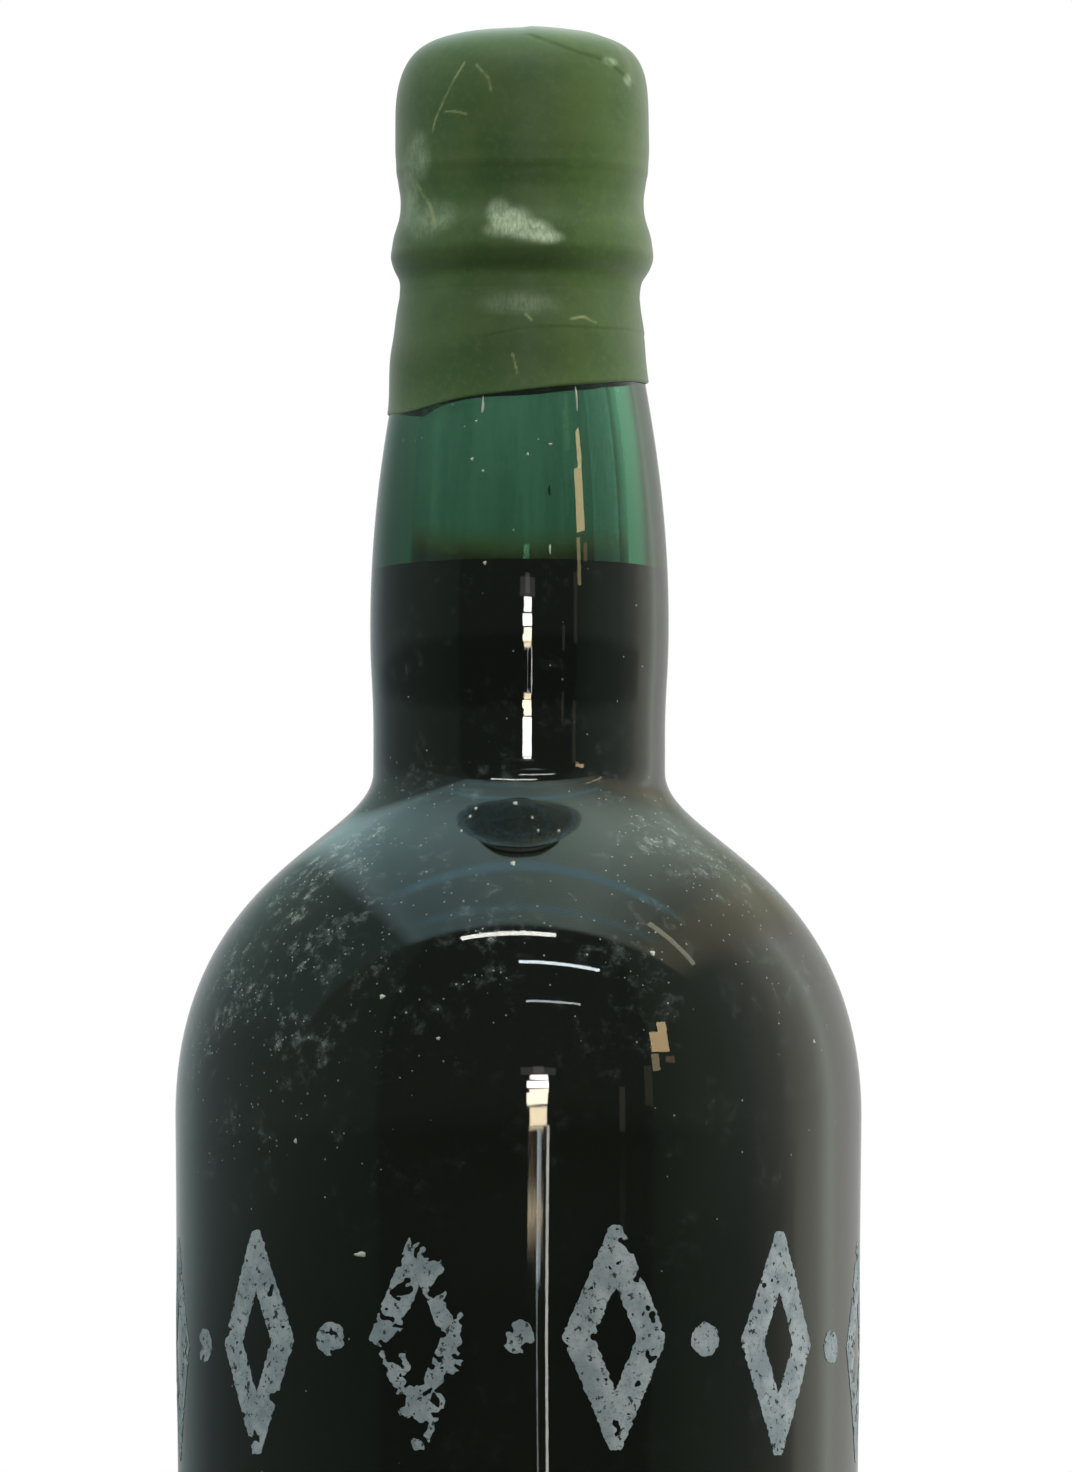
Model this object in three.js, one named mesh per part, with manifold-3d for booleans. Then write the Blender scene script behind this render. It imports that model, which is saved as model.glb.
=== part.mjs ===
// A corked and wax-sealed wine bottle: a hand-finished bottle of dark glass with a swelling neck and a
// punt, the wine that fills it, the driven cork, and a coat of sealing wax over the mouth and the neck.
// The wax parts under the lip, where a knife scores it: its cap lifts away and its skirt stays.
// Millimetres, +Z up, with the origin in the middle of the foot that the bottle stands on.

import * as THREE from 'three';
import { mergeVertices } from 'three/addons/utils/BufferGeometryUtils.js';
import Module from 'manifold-3d';

// Foot, heel, body and shoulder of the glass
const FOOT_WIDTH = 6.5; // flat ring that the bottle stands on
const HEEL_RADIUS = 6; // round edge between the foot and the body
const BASE_RADIUS = 37.5; // at the heel, where the tapering body is narrowest
const BODY_RADIUS = 39.2; // at the top of the body, where it is widest
const BODY_HEIGHT = 175.6; // from the foot to where the shoulder starts
const SHOULDER_RISE = 39.5; // from the body up to the waist of the neck
const SHOULDER_FULLNESS = 28.6; // how far the shoulder keeps upright above the body
const SHOULDER_FILLET = 8.2; // how far the hollow at its top keeps upright below the neck

// Punt, the hollow pushed up into the bottom
const PUNT_HEIGHT = 20;
const PUNT_CROWN = 11; // how far the top of the punt keeps level
const PUNT_STEEPNESS = 9; // how far its side keeps upright above the foot
const PUNT_TROUGH = 2; // how far the inside keeps level beside the heel

// Neck of the glass, each rise measured from the feature below it
const WAIST_RADIUS = 16.7;
const BULGE_RADIUS = 17.1;
const BULGE_RISE = 16.8;
const COLLAR_RISE = 37.7; // up to the hollow under the string ring
const NECK_FULLNESS = 17.2; // how far the neck keeps upright above its bulge
const COLLAR_LEAD = 9; // how far the neck's taper runs on into the collar
const COLLAR_SLOPE = 0.14; // taper there, radius for height

// Finish of the glass round its bore: collar, string ring, groove and lip
const BORE_RADIUS = 9.3;
const COLLAR_WALL = 3.4;
const RING_WALL = 4.6;
const RING_RISE = 5.1;
const GROOVE_WALL = 3.6;
const GROOVE_RISE = 5.9;
const LIP_WALL = 4.1;
const LIP_RISE = 3.6;
const LIP_HEIGHT = 13.2; // upright side of the lip, up to the mouth
const LIP_EDGE = 3; // round outer edge of the mouth
const BORE_EDGE = 1; // round inner edge of the mouth
const BORE_LENGTH = 31; // straight length of the bore that grips the cork
const BORE_LEAD = 9; // how far the neck's taper runs on into the bore
const BORE_SLOPE = 0.24; // taper there, radius for height
const FLARE_FULLNESS = 17.2; // how far the inside keeps upright above the bulge

// Walls of the glass below the finish
const BODY_WALL = 3;
const NECK_WALL = 4.5;
const BASE_WALL = 5.5;
const INNER_HEEL_RADIUS = 5;

// Cork and wine
const CORK_LENGTH = 34;
const CORK_RECESS = 0.5; // top of the cork below the mouth
const CORK_CHAMFER = 0.8;
const CORK_CLEARANCE = 0.08; // between the cork and the bore
const ULLAGE = 23.7; // air between the cork and the wine
const WINE_CLEARANCE = 0.3; // between the wine and the glass

// Sealing wax
const WAX_CLEARANCE = 0.12; // between the wax and the glass that it coats
const WAX_THICKNESS = 0.9;
const WAX_CROWN = 2.9; // thickness over the mouth, at the middle
const WAX_ROUNDING = 7.5; // how far below the mouth the cap starts to round over
const WAX_SHOULDER = 8.3; // how far its side keeps upright from there
const WAX_TOP_EASE = 2.9; // how far inside its side the top starts to fall away
const SKIRT_DEPTH = 26.1; // from the seam down to the skirt's lower edge, at the middle
const SKIRT_TILT = THREE.MathUtils.degToRad(7.5); // slant of that edge, higher towards +X
const SKIRT_EDGE = 0.35; // thickness of the skirt where it thins out on the neck
const SKIRT_FEATHER = 8; // height over which it thins out

// Fineness of the faceted solids
const SIDES = 40;
const CURVE_STEPS = 4;
const LONG_CURVE_STEPS = 9;

// Radii and heights that follow from the sizes above
const collarRadius = BORE_RADIUS + COLLAR_WALL;
const ringRadius = BORE_RADIUS + RING_WALL;
const grooveRadius = BORE_RADIUS + GROOVE_WALL;
const lipRadius = BORE_RADIUS + LIP_WALL;
const boreEdge = Math.min(BORE_EDGE, LIP_WALL / 4);
const lipEdge = Math.min(LIP_EDGE, LIP_WALL - boreEdge);
const waistHeight = BODY_HEIGHT + SHOULDER_RISE;
const bulgeHeight = waistHeight + BULGE_RISE;
const collarHeight = bulgeHeight + COLLAR_RISE;
const ringHeight = collarHeight + RING_RISE;
const grooveHeight = ringHeight + GROOVE_RISE;
const seamHeight = grooveHeight + LIP_RISE;
const mouthHeight = seamHeight + LIP_HEIGHT;
const corkTop = mouthHeight - CORK_RECESS;
const corkBottom = corkTop - CORK_LENGTH;
const wineLevel = corkBottom - ULLAGE;
const skirtHeight = seamHeight - SKIRT_DEPTH;

const { lerp, smoothstep } = THREE.MathUtils;
const QUARTER = Math.PI / 2;

const wasm = await Module();
wasm.setup();

const at = (radius, height) => new THREE.Vector2(radius, height);

// A curved stretch of outline between two points, with the handles that it leaves them by.
function curve(start, startHandle, endHandle, end, steps = CURVE_STEPS) {
  return new THREE.CubicBezierCurve(start, startHandle, endHandle, end).getPoints(steps);
}

// A stretch that swells or narrows evenly and stands upright at both ends.
function ease(start, end) {
  const middle = (start.y + end.y) / 2;
  return curve(start, at(start.x, middle), at(end.x, middle), end);
}

// A round stretch about a centre, from one angle to another.
function arc(centre, radius, from, to) {
  const circle = new THREE.EllipseCurve(centre.x, centre.y, radius, radius, from, to, to < from);
  return circle.getPoints(CURVE_STEPS);
}

// Stretches end to end, without the points that two of them share.
function join(...stretches) {
  const points = stretches.flat();
  return points.filter((p, i) => i === 0 || p.distanceTo(points[i - 1]) > 1e-6);
}

// The outline moved off itself to its right, by a distance that depends on the height.
function offset(outline, distanceAt) {
  return outline.map((p, i) => {
    const before = outline[Math.max(i - 1, 0)];
    const after = outline[Math.min(i + 1, outline.length - 1)];
    const along = after.clone().sub(before).normalize();
    const distance = distanceAt(p.y);
    return at(p.x + along.y * distance, p.y - along.x * distance);
  });
}

// Where an outline first rises through a height: the number of its next point, and the place itself.
function crossing(outline, height) {
  const next = outline.findIndex((p, i) => i > 0 && p.y >= height && outline[i - 1].y < height);
  const [below, above] = [outline[next - 1], outline[next]];
  return { next, place: below.clone().lerp(above, (height - below.y) / (above.y - below.y)) };
}

// A closed solid of revolution about the vertical axis.
function turned(outline) {
  return new THREE.LatheGeometry(outline, SIDES).rotateX(QUARTER);
}

// A geometry as a solid that can be cut.
function solidOf(geometry) {
  const bare = geometry.clone();
  bare.deleteAttribute('normal');
  bare.deleteAttribute('uv');
  const merged = mergeVertices(bare);
  return new wasm.Manifold(new wasm.Mesh({
    numProp: 3,
    vertProperties: merged.getAttribute('position').array,
    triVerts: new Uint32Array(merged.index.array),
  }));
}

// A cut solid as a geometry again.
function geometryOf(solid) {
  const mesh = solid.getMesh();
  return new THREE.BufferGeometry()
    .setAttribute('position', new THREE.BufferAttribute(mesh.vertProperties, 3))
    .setIndex(new THREE.BufferAttribute(mesh.triVerts, 1));
}

// Outside of the glass, from the shoulder up to the lip.
function glassOutside() {
  const shoulder = curve(
    at(BODY_RADIUS, BODY_HEIGHT),
    at(BODY_RADIUS, BODY_HEIGHT + SHOULDER_FULLNESS),
    at(WAIST_RADIUS, waistHeight - SHOULDER_FILLET),
    at(WAIST_RADIUS, waistHeight),
    LONG_CURVE_STEPS,
  );
  const lowerNeck = ease(at(WAIST_RADIUS, waistHeight), at(BULGE_RADIUS, bulgeHeight));
  const upperNeck = curve(
    at(BULGE_RADIUS, bulgeHeight),
    at(BULGE_RADIUS, bulgeHeight + NECK_FULLNESS),
    at(collarRadius + COLLAR_LEAD * COLLAR_SLOPE, collarHeight - COLLAR_LEAD),
    at(collarRadius, collarHeight),
    LONG_CURVE_STEPS,
  );
  const ringUnderside = ease(at(collarRadius, collarHeight), at(ringRadius, ringHeight));
  const ringTop = ease(at(ringRadius, ringHeight), at(grooveRadius, grooveHeight));
  const lipUnderside = ease(at(grooveRadius, grooveHeight), at(lipRadius, seamHeight));
  return join(shoulder, lowerNeck, upperNeck, ringUnderside, ringTop, lipUnderside);
}

// Inside of the glass, from the middle of the punt out to the heel and up to the mouth.
function glassInside(outside) {
  const heelCentre = at(BASE_RADIUS - BODY_WALL - INNER_HEEL_RADIUS, BASE_WALL + INNER_HEEL_RADIUS);
  const punt = curve(
    at(0, PUNT_HEIGHT + BASE_WALL),
    at(PUNT_CROWN + BASE_WALL, PUNT_HEIGHT + BASE_WALL),
    at(heelCentre.x - PUNT_TROUGH, BASE_WALL),
    at(heelCentre.x, BASE_WALL),
    LONG_CURVE_STEPS,
  );
  const heel = arc(heelCentre, INNER_HEEL_RADIUS, -QUARTER, 0);
  const wallAt = (height) => lerp(BODY_WALL, NECK_WALL, smoothstep(height, BODY_HEIGHT, waistHeight));
  const belowBulge = outside.slice(0, crossing(outside, bulgeHeight).next + 1);
  const wall = offset(belowBulge, (height) => -wallAt(height));
  const bulge = wall.at(-1);
  const boreBottom = mouthHeight - BORE_LENGTH;
  const flare = curve(
    bulge,
    at(bulge.x, bulge.y + FLARE_FULLNESS),
    at(BORE_RADIUS + BORE_LEAD * BORE_SLOPE, boreBottom - BORE_LEAD),
    at(BORE_RADIUS, boreBottom),
    LONG_CURVE_STEPS,
  );
  return join(punt, heel, wall, flare, [at(BORE_RADIUS, mouthHeight - boreEdge)]);
}

function glassBottle(outside, inside) {
  const footRadius = BASE_RADIUS - HEEL_RADIUS;
  const puntUnderside = curve(
    at(0, PUNT_HEIGHT),
    at(PUNT_CROWN, PUNT_HEIGHT),
    at(footRadius - FOOT_WIDTH, PUNT_STEEPNESS),
    at(footRadius - FOOT_WIDTH, 0),
    LONG_CURVE_STEPS,
  );
  const heel = arc(at(footRadius, HEEL_RADIUS), HEEL_RADIUS, -QUARTER, 0);
  const mouthOutside = arc(at(lipRadius - lipEdge, mouthHeight - lipEdge), lipEdge, 0, QUARTER);
  const mouthInside = arc(at(BORE_RADIUS + boreEdge, mouthHeight - boreEdge), boreEdge, QUARTER, Math.PI);
  return turned(join(puntUnderside, heel, outside, mouthOutside, mouthInside, [...inside].reverse()));
}

function wineFill(inside) {
  const { next, place } = crossing(inside, wineLevel);
  const skin = offset([...inside.slice(0, next), place], () => -WINE_CLEARANCE);
  skin[0].x = 0;
  return turned(join(skin, [at(0, skin.at(-1).y)]));
}

function corkStopper() {
  const radius = BORE_RADIUS - CORK_CLEARANCE;
  return turned([
    at(0, corkBottom),
    at(radius - CORK_CHAMFER, corkBottom),
    at(radius, corkBottom + CORK_CHAMFER),
    at(radius, corkTop - CORK_CHAMFER),
    at(radius - CORK_CHAMFER, corkTop),
    at(0, corkTop),
  ]);
}

// The wax below the seam: a coat on the finish and the neck, cut off along its slanted lower edge.
function waxSkirt(outside) {
  const reach = 2 * BULGE_RADIUS;
  const { next } = crossing(outside, skirtHeight - reach * Math.tan(SKIRT_TILT));
  const coated = outside.slice(next);
  const coatAt = (height) => {
    const share = smoothstep(height, skirtHeight, skirtHeight + SKIRT_FEATHER);
    return WAX_CLEARANCE + lerp(SKIRT_EDGE, WAX_THICKNESS, share);
  };
  const outer = offset(coated, coatAt);
  const inner = offset(coated, () => WAX_CLEARANCE).reverse();
  const coat = turned(join(outer, inner, [outer[0]]));
  const belowEdge = new THREE.BoxGeometry(2 * reach, 2 * reach, reach)
    .translate(0, 0, -reach / 2)
    .rotateY(-SKIRT_TILT)
    .translate(0, 0, skirtHeight);
  return geometryOf(solidOf(coat).subtract(solidOf(belowEdge)));
}

// The wax above the seam: an upright wall round the lip under a low dome.
function waxCap() {
  const innerRadius = lipRadius + WAX_CLEARANCE;
  const outerRadius = innerRadius + WAX_THICKNESS;
  const roof = mouthHeight + WAX_CLEARANCE;
  const crown = roof + WAX_CROWN;
  const rounding = mouthHeight - Math.min(WAX_ROUNDING, LIP_HEIGHT);
  const mouthEdge = arc(at(innerRadius - lipEdge, roof - lipEdge), lipEdge, QUARTER, 0);
  const dome = curve(
    at(outerRadius, rounding),
    at(outerRadius, rounding + WAX_SHOULDER),
    at(outerRadius - WAX_TOP_EASE, crown),
    at(0, crown),
    LONG_CURVE_STEPS,
  );
  const seam = [at(innerRadius, seamHeight), at(outerRadius, seamHeight)];
  return turned(join([at(0, roof)], mouthEdge, seam, dome));
}

function piece(name, geometry, color, roughness) {
  const material = new THREE.MeshStandardMaterial({ color, roughness, metalness: 0 });
  const mesh = new THREE.Mesh(geometry, material);
  mesh.name = name;
  return mesh;
}

const outside = glassOutside();
const inside = glassInside(outside);
const bottle = new THREE.Group();
bottle.add(
  piece('glass_bottle', glassBottle(outside, inside), 0x16261c, 0.08),
  piece('wine', wineFill(inside), 0x2a0f08, 0.05),
  piece('cork_stopper', corkStopper(), 0xb58a5c, 0.85),
  piece('wax_skirt', waxSkirt(outside), 0x435a36, 0.55),
  piece('wax_cap', waxCap(), 0x465a3d, 0.55),
);

export default bottle;
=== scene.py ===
"""Looks of a sealed wine bottle: dark green glass with painted marks, wine, a cork and sealing wax.

Angles round the bottle are measured from its front (-Y), positive towards its right (+X).
"""

import math

import bmesh
import bpy
import numpy as np
from mathutils import Matrix, Vector


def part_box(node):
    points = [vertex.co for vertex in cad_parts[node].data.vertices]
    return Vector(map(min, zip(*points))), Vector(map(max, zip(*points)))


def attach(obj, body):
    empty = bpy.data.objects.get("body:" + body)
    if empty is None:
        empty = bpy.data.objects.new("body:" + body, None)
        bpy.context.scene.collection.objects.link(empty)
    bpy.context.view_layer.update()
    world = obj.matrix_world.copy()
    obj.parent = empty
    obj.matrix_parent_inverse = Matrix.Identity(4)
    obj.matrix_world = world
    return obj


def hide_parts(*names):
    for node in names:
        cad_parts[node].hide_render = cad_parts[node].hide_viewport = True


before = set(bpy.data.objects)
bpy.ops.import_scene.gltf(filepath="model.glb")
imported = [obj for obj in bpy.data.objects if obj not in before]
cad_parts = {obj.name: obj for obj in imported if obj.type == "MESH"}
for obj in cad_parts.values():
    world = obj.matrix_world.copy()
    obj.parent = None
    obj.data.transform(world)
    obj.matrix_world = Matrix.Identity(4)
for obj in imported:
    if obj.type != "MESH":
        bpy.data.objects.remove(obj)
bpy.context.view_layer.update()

MM = 0.001

# Places that the frame gives
glass_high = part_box("glass_bottle")[1]
cork_low, cork_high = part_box("cork_stopper")
cap_low, cap_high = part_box("wax_cap")
wine_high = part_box("wine")[1]
BODY_RADIUS = glass_high.x
MOUTH_HEIGHT = glass_high.z
SEAM_HEIGHT = cap_low.z
CROWN_HEIGHT = cap_high.z
WINE_LEVEL = wine_high.z
CORK_RADIUS = cork_high.x

# Foot, body and shoulder of the glass
FOOT_INNER = 25.0 * MM
FOOT_OUTER = 31.5 * MM
HEEL_RADIUS = 6.0 * MM
BODY_HEIGHT = 175.6 * MM
WAIST_HEIGHT = 215.1 * MM
WAIST_RADIUS = 16.7 * MM
SHOULDER_FULLNESS = 28.6 * MM
SHOULDER_FILLET = 8.2 * MM

# Neck and finish of the glass
WAIST_TOP = 219.0 * MM
BULGE_HEIGHT = 231.9 * MM
BULGE_RADIUS = 17.1 * MM
NECK_FULLNESS = 17.2 * MM
COLLAR_HEIGHT = 269.6 * MM
COLLAR_RADIUS = 12.7 * MM
COLLAR_LEAD = 9.0 * MM
COLLAR_SLOPE = 0.14
RING_HEIGHT = 274.7 * MM
RING_RADIUS = 13.9 * MM
GROOVE_HEIGHT = 280.6 * MM
GROOVE_RADIUS = 12.9 * MM
LIP_RADIUS = 13.4 * MM
LIP_EDGE = 3.0 * MM
BORE_RADIUS = 9.3 * MM
BORE_EDGE = 1.0 * MM
BORE_BOTTOM = 266.4 * MM
BORE_LEAD = 9.0 * MM
BORE_SLOPE = 0.24
FLARE_FULLNESS = 17.2 * MM

# Inside of the glass, and the punt under it
BODY_WALL = 3.0 * MM
NECK_WALL = 4.5 * MM
BASE_WALL = 5.5 * MM
INNER_HEEL = 5.0 * MM
PUNT_HEIGHT = 20.0 * MM
PUNT_CROWN = 11.0 * MM
PUNT_STEEPNESS = 9.0 * MM
PUNT_TROUGH = 2.0 * MM
GLASS_WAVE = 0.035 * MM
GLASS_SIDES = 256

# The neck's glass is calmer than the body's by this share, coming in between two heights
NECK_CALM = 0.9
CALM_SPAN = (200 * MM, 214 * MM)

# Inner face of the neck, and the wine film on it over the wine: its sag at the sides, and where its tints
# fade out. The amber is the film's tint; the near-black tint is partly the film's colour and partly painted
# shade of the wine's meniscus, sagging towards the sides at ±X
NECK_INNER_SPAN = (13.6 * MM, 14.2 * MM)
FILM_SAG = 1.6 * MM
AMBER_SPAN = (0.1 * MM, 3.2 * MM)
FILM_SHADE_SPAN = (-1.2 * MM, 1.3 * MM)

# Dust: its shares on the body, on the shoulder and under the neck, and the heights over which they change
DUST_ON_BODY = 0.12
DUST_UP_BODY = 0.10
DUST_ON_SHOULDER = 0.06
DUST_AT_LEFT = 0.22
DUST_UNDER_NECK = 0.5
DUST_BODY_SPAN = (150 * MM, 180 * MM)
DUST_SHOULDER_SPAN = (176 * MM, 196 * MM)
DUST_NECK_SPAN = (209 * MM, 219 * MM)
NECK_FOOT = 206 * MM
NECK_FOOT_HALF = 6 * MM

# A place in front wiped nearly clean, and a smudge at the left: angles in degrees, half widths in radians
WIPED_SHARE = 0.85
WIPED_HALF = 0.6
SMUDGE_SHARE = 0.5
SMUDGE_ANGLE = -50.0
SMUDGE_HALF = 0.40
SMUDGE_HEIGHT = 184 * MM
SMUDGE_HALF_HEIGHT = 13 * MM

# Wine
WINE_OVERLAP = 0.05 * MM
WINE_EDGE = 0.9 * MM
MENISCUS_DIP = 0.3 * MM
MENISCUS_REACH = 1.6 * MM

# Cork
CORK_CHAMFER = 0.8 * MM
CORK_SIDES = 160

# Wax
CAP_RADIUS = cap_high.x + 0.12 * MM
CAP_GAP = 0.12 * MM
CAP_FLUSH = 3 * MM
CROWN_FADE = 4 * MM
WAX_GAP = 0.03 * MM
WAX_COAT = 1.02 * MM
WAX_EDGE = 0.22 * MM
WAX_FEATHER = 8.0 * MM
SKIRT_MIDDLE = 258.1 * MM
SKIRT_SLANT = math.tan(math.radians(7.5))
SKIRT_DIP = 0.8 * MM
SKIRT_RIM = 0.35 * MM
SKIRT_SADDLE = 0.2 * MM
SKIRT_WOBBLE = 0.07 * MM
SKIRT_ROWS = 165
SKIRT_INNER_ROWS = 24
SKIRT_CROWDING = 1.5
RIM_SHARE = 0.25
EDGE_SWAY = 0.5
WAX_LUMP = 0.06 * MM
WAX_GIRTH = 14.4
DOME_START = 290.3 * MM
DOME_SHOULDER = 8.5 * MM
DOME_EASE = 2.9 * MM
WAX_SIDES = 512

# Bends of the skirt's edge: rise in mm, angle in degrees and half width in radians
SKIRT_BENDS = ((-0.15, -62.0, 0.3), (1.0, -142.0, 0.6))

# Rolls and grooves round the wax: how proud, height of the middle and half height, all in mm
WAX_ROLLS = ((0.12, 274.3, 0.9), (-0.16, 271.6, 1.0), (-0.13, 283.1, 0.8))

# How the coat hangs to the right: distance, then the heights between which it comes in, all in mm
WAX_LEANS = ((0.22, 269.5, 273.5), (0.18, 292.0, 300.0))

# How it is tucked to the left under the ring: distance, height of the middle and half height, all in mm
WAX_TUCK = (0.16, 267.8, 2.2)

# Scratches in the wax: width in mm, then angle in degrees and height in mm of each point
WAX_SCRATCHES = (
    (0.19, ((-28.7, 295.3), (-32.7, 293.5), (-37.6, 291.3), (-43.4, 288.9), (-45.1, 287.6))),
    (0.16, ((-37.5, 289.8), (-31.4, 289.7), (-25.9, 289.3))),
    (0.18, ((-22.1, 295.0), (-15.5, 293.3), (-14.3, 292.0))),
    (0.34, ((-58.9, 281.9), (-48.6, 279.2), (-43.4, 277.2))),
    (0.17, ((-3.4, 261.7), (-1.1, 259.5))),
    (0.20, ((2.9, 266.3), (5.6, 265.6))),
    (0.21, ((24.0, 265.9), (30.9, 266.2), (36.8, 265.6))),
    (0.20, ((96.0, 291.0), (108.0, 286.5), (112.0, 279.0))),
    (0.22, ((150.0, 268.5), (171.0, 270.2))),
    (0.24, ((208.0, 293.0), (221.0, 288.6))),
)

# Pale scuffs: strength, angle in degrees and height in mm of the middle, half width and half height in mm
WAX_SCUFFS = (
    (0.50, -11.0, 278.0, 1.9, 2.2),
    (0.70, -5.0, 277.0, 3.0, 2.3),
    (0.95, 3.0, 275.9, 3.4, 1.7),
    (0.80, 10.5, 275.1, 2.6, 1.1),
    (0.60, -10.0, 275.9, 2.6, 1.2),
    (0.32, -48.0, 277.6, 5.5, 3.0),
    (0.40, -56.0, 285.1, 3.2, 3.6),
    (0.32, -66.0, 281.5, 3.0, 5.4),
    (0.20, 0.0, 267.6, 6.4, 1.9),
    (0.45, 46.0, 295.8, 1.7, 0.7),
    (0.45, 57.5, 293.9, 1.2, 1.0),
    (0.50, 128.0, 275.8, 3.4, 1.6),
    (0.40, 190.0, 276.5, 4.6, 2.0),
    (0.35, 236.0, 287.0, 2.6, 3.4),
)

# Angles in degrees and heights in mm of the fold on the dome and of the lap on the skirt
DOME_FOLD = ((2.9, 14.8, 28.4, 44.5, 61.5), (298.65, 297.6, 296.5, 295.7, 293.4))
SKIRT_LAP = ((-16.0, 2.9, 21.0, 42.4, 80.7, 120.0), (263.8, 264.8, 265.0, 265.1, 265.5, 265.2))

LINE_FADE = 6.0
LAP_STEP = 0.07 * MM
LAP_EDGE = 0.1 * MM
LAP_SPAN = (3 * MM, 7 * MM)
FOLD_STEP = 0.12 * MM
FOLD_SPAN = (-0.15 * MM, 0.25 * MM)

# Painted marks: a band of worn lozenges with dots between them, sizes in mm
MARK_COUNT = 11
MARK_MIDDLE = 148.6
MARK_HALF_WIDTH = 4.3
MARK_HALF_HEIGHT = 10.0
MARK_TIP = 12.6
MARK_STROKE = 3.3
MARK_DOT = 1.9
MARK_CELL = 0.28
MARK_LEAST_CELLS = 8
MARK_MARGIN = 0.01
MARK_NEAREST = 0.15
MARK_FLAKED = 0.75
MARK_CHIPPED = 0.6
MARK_FLAKE_SLOPE = 1.3
MARK_FRAYED = 0.10
PAINT_PROUD = 0.05 * MM
PAINT_SUNK = 0.03 * MM

# How well each lozenge is kept, from the one right of the front onwards
MARK_KEPT = (1.0, 1.5, 0.8, 1.3, 0.5, 1.4, 0.9, 1.2, 0.6, 1.35, 0.22)

# Specks stuck to the glass: angle in degrees and height in mm, half width and half length in mm
GLASS_SPECKS = (
    (-16.2, 255.8, 0.16, 1.0),
    (-18.8, 254.0, 0.17, 0.17),
    (-19.8, 249.6, 0.20, 0.22),
    (-15.0, 248.2, 0.16, 0.16),
    (3.3, 250.1, 0.14, 0.20),
    (12.8, 251.3, 0.24, 0.14),
    (-13.4, 237.6, 0.20, 0.24),
    (11.8, 239.2, 0.12, 0.60),
    (25.6, 256.8, 0.11, 1.5),
    (-23.9, 187.0, 0.34, 0.28),
    (-13.4, 182.1, 0.24, 0.20),
    (-39.8, 171.0, 0.22, 0.30),
    (-26.9, 158.0, 0.75, 0.30),
    (-1.3, 202.5, 0.26, 0.28),
    (24.8, 192.1, 0.30, 0.30),
    (-13.9, 209.4, 0.17, 0.17),
    (-1.2, 210.0, 0.26, 0.20),
    (-14.9, 208.4, 0.15, 0.18),
    (-15.9, 206.6, 0.13, 0.16),
    (4.0, 208.2, 0.13, 0.15),
    (5.3, 206.6, 0.14, 0.16),
    (11.0, 206.6, 0.13, 0.15),
    (60.0, 183.0, 0.22, 0.22),
    (118.0, 190.0, 0.30, 0.24),
    (165.0, 248.0, 0.18, 0.60),
    (204.0, 186.0, 0.28, 0.30),
)

# Shape of a speck: its rings as share of the reach and of the thickness, and its top and bottom
SPECK_SIDES = 14
SPECK_RINGS = ((0.55, 0.4), (0.9, 0.18), (1.0, -0.12))
SPECK_TOP = 0.5
SPECK_BOTTOM = -0.12
SPECK_THICKNESS = 0.25 * MM

# Colours: red, green, blue and full cover
GLASS_CLEAR = (0.75, 0.90, 0.82, 1.0)
GLASS_STREAK = (0.45, 0.62, 0.56, 1.0)
GLASS_AMBER = (0.90, 0.43, 0.11, 1.0)
# Near-black tint over the wine line: partly the wine film's colour, partly painted shade of the meniscus
GLASS_FILM_SHADE = (0.065, 0.03, 0.006, 1.0)
GLASS_DEEP = (0.085, 0.36, 0.236, 1.0)
GLASS_DENSITY = 416.0
DUST = (0.41, 0.36, 0.26, 1.0)
WINE_DARK = (0.018, 0.007, 0.002, 1.0)
WINE_LIGHT = (0.030, 0.011, 0.003, 1.0)
CORK_DARK = (0.36, 0.21, 0.10, 1.0)
CORK_LIGHT = (0.56, 0.37, 0.20, 1.0)
CORK_PORE = (0.13, 0.065, 0.03, 1.0)
CORK_STAIN = (0.10, 0.032, 0.018, 1.0)
WAX_DARK = (0.044, 0.093, 0.021, 1.0)
WAX_LIGHT = (0.063, 0.113, 0.027, 1.0)
WAX_GRAIN = (0.086, 0.134, 0.041, 1.0)
WAX_SCUFFED = (0.54, 0.66, 0.43, 1.0)
WAX_SCRATCHED = (0.24, 0.28, 0.11, 1.0)
PAINT_DARK = (0.19, 0.235, 0.245, 1.0)
PAINT_LIGHT = (0.32, 0.36, 0.36, 1.0)
PAINT_GRAIN = (0.08, 0.11, 0.11, 1.0)
PAINT_PIT = (0.02, 0.026, 0.024, 1.0)
SPECK_DARK = (0.30, 0.31, 0.22, 1.0)
SPECK_LIGHT = (0.55, 0.55, 0.44, 1.0)
FLOOR_DARK = (0.78, 0.78, 0.77, 1.0)
FLOOR_LIGHT = (0.82, 0.82, 0.81, 1.0)
WHITE = (1.0, 1.0, 1.0, 1.0)
SOFT_LOW = (0.17, 0.17, 0.16, 1.0)
SOFT_HIGH = (1.42, 1.46, 1.46, 1.0)
SIDE_GLOW = (3.8, 3.8, 3.7, 1.0)


# Outlines

def bezier(start, start_handle, end_handle, end, steps=24):
    t = np.linspace(0.0, 1.0, steps + 1)[:, None]
    points = [np.array(p, float) for p in (start, start_handle, end_handle, end)]
    weights = [(1 - t) ** 3, 3 * t * (1 - t) ** 2, 3 * t ** 2 * (1 - t), t ** 3]
    return sum(w * p for w, p in zip(weights, points))


def ease(start, end, steps=12, lead=0.5):
    """A soft S from one point to another, upright at both ends, straighter with a shorter lead."""
    reach = lead * (end[1] - start[1])
    return bezier(start, (start[0], start[1] + reach), (end[0], end[1] - reach), end, steps)


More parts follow.
